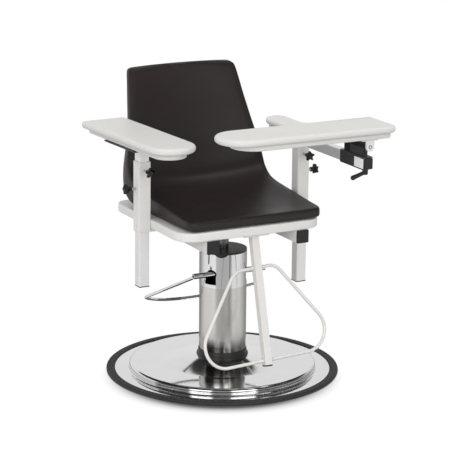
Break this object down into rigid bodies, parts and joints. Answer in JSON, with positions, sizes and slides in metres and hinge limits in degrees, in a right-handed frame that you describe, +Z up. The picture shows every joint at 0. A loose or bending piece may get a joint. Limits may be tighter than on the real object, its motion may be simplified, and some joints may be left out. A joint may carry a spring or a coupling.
{
  "type": "phlebotomy chair",
  "caption": "Blood-draw chair on a foot-pumped hydraulic base, with a height-adjustable arm board and a flip-up crossing arm board",
  "frame": {"origin": "on the floor under the axis of the pump column", "axes": "+Z up, the sitter faces -Y, +X is the viewer's right when the chair is seen from the front"},
  "size_m": [0.6892, 0.7424, 0.8739],
  "materials": {
    "white_paint": "semi-gloss off-white powder coat",
    "board": "smooth off-white moulded board",
    "shell": "matt black moulded cushion skin",
    "chrome": "polished chrome plate",
    "satin_steel": "satin plated tube",
    "steel": "zinc plated fasteners",
    "iron": "bare cast iron",
    "bronze": "sintered bearing bush",
    "black_paint": "semi-gloss black paint",
    "black_plastic": "black moulded plastic",
    "plate": "plain white plate with nothing on it",
    "rubber": "matt black rubber ring"
  },
  "bodies": {
    "base": {"base_ring": "rubber", "base_cover": "chrome", "base_casting": "iron", "base_bolts": "steel", "column_collar": "black_paint", "column_tube": "satin_steel", "column_sleeve": "chrome", "column_cap": "black_paint", "pump_head": "iron", "ram_gland": "rubber", "pump_cylinder": "steel", "plunger_block": "iron", "plunger_spring": "steel"},
    "plunger": {"plunger": "steel"},
    "pedal": {"pedal_shaft": "chrome", "pedal_loop": "chrome", "pedal_cam": "iron"},
    "ram": {"ram": "chrome", "piston": "iron"},
    "seat": {"swivel_bush": "bronze", "mount_plate": "black_paint", "left_rail": "white_paint", "right_rail": "white_paint", "rail_caps": "black_plastic", "side_brackets": "white_paint", "seat_tray": "white_paint", "seat_shell": "shell", "seat_screws": "steel", "left_sleeve": "white_paint", "right_sleeve": "white_paint", "footrest_plate": "white_paint", "footrest_post": "white_paint", "footrest_loop": "white_paint", "footrest_plug": "black_plastic"},
    "left_arm": {"left_post": "chrome", "left_arm_plate": "black_paint", "left_pan": "board", "left_board": "board", "left_arm_screws": "steel"},
    "right_arm": {"right_post": "chrome", "arm_bar": "chrome", "bar_caps": "black_plastic"},
    "carriage": {"slide_sleeve": "black_paint", "slide_plate": "plate", "hinge_block": "black_plastic", "hinge_pin": "steel"},
    "flip_arm": {"flip_bracket": "white_paint", "flip_pan": "board", "flip_board": "board", "flip_screws": "steel"},
    "clamp": {"clamp_lever": "black_plastic", "clamp_screw": "steel"},
    "left_front_knob": {"left_front_knob": "black_plastic", "left_front_stud": "steel"},
    "left_outer_knob": {"left_outer_knob": "black_plastic", "left_outer_stud": "steel"},
    "right_front_knob": {"right_front_knob": "black_plastic", "right_front_stud": "steel"},
    "right_outer_knob": {"right_outer_knob": "black_plastic", "right_outer_stud": "steel"}
  },
  "joints": [
    {"name": "pump_lift", "type": "slide", "parent": "base", "child": "ram", "axis": [0, 0, 1], "range_m": [0, 0.15]},
    {"name": "seat_swivel", "type": "hinge", "parent": "ram", "child": "seat", "pos_m": [0, 0, 0.43], "axis": [0, 0, 1], "continuous": true},
    {"name": "pedal_press", "type": "hinge", "parent": "base", "child": "pedal", "pos_m": [0, -0.038, 0.308], "axis": [1, 0, 0], "range_deg": [-22, 0], "stiffness_Nm_per_rad": 9, "springref_deg": 20.05},
    {"name": "plunger_push", "type": "slide", "parent": "base", "child": "plunger", "axis": [0, 0, -1], "range_m": [0, 0.0115], "deforming": ["plunger_spring"]},
    {"name": "left_arm_height", "type": "slide", "parent": "seat", "child": "left_arm", "axis": [0, 0, 1], "range_m": [-0.008, 0.1]},
    {"name": "right_arm_height", "type": "slide", "parent": "seat", "child": "right_arm", "axis": [0, 0, 1], "range_m": [0, 0.1]},
    {"name": "flip_arm_reach", "type": "slide", "parent": "right_arm", "child": "carriage", "axis": [0, 1, 0], "range_m": [-0.012, 0.08]},
    {"name": "flip_arm_lift", "type": "hinge", "parent": "carriage", "child": "flip_arm", "pos_m": [0.261, -0.32, 0.72333], "axis": [0, 1, 0], "range_deg": [0, 90]},
    {"name": "clamp_turn", "type": "hinge", "parent": "carriage", "child": "clamp", "pos_m": [0.26215, -0.353, 0.64682], "axis": [0, 0, 1], "range_deg": [-60, 90]},
    {"name": "left_front_knob_turn", "type": "hinge", "parent": "seat", "child": "left_front_knob", "pos_m": [-0.25915, -0.0465, 0.6308], "axis": [0, -1, 0], "range_deg": [0, 360]},
    {"name": "left_outer_knob_turn", "type": "hinge", "parent": "seat", "child": "left_outer_knob", "pos_m": [-0.30915, 0.0075, 0.5768], "axis": [-1, 0, 0], "range_deg": [0, 360]},
    {"name": "right_front_knob_turn", "type": "hinge", "parent": "seat", "child": "right_front_knob", "pos_m": [0.25915, -0.0465, 0.6308], "axis": [0, -1, 0], "range_deg": [0, 360]},
    {"name": "right_outer_knob_turn", "type": "hinge", "parent": "seat", "child": "right_outer_knob", "pos_m": [0.30915, 0.0075, 0.5768], "axis": [1, 0, 0], "range_deg": [0, 360]}
  ],
  "couplings": [
    {"joint": "plunger_push", "follows": "pedal_press", "m_per_rad": -0.029}
  ]
}
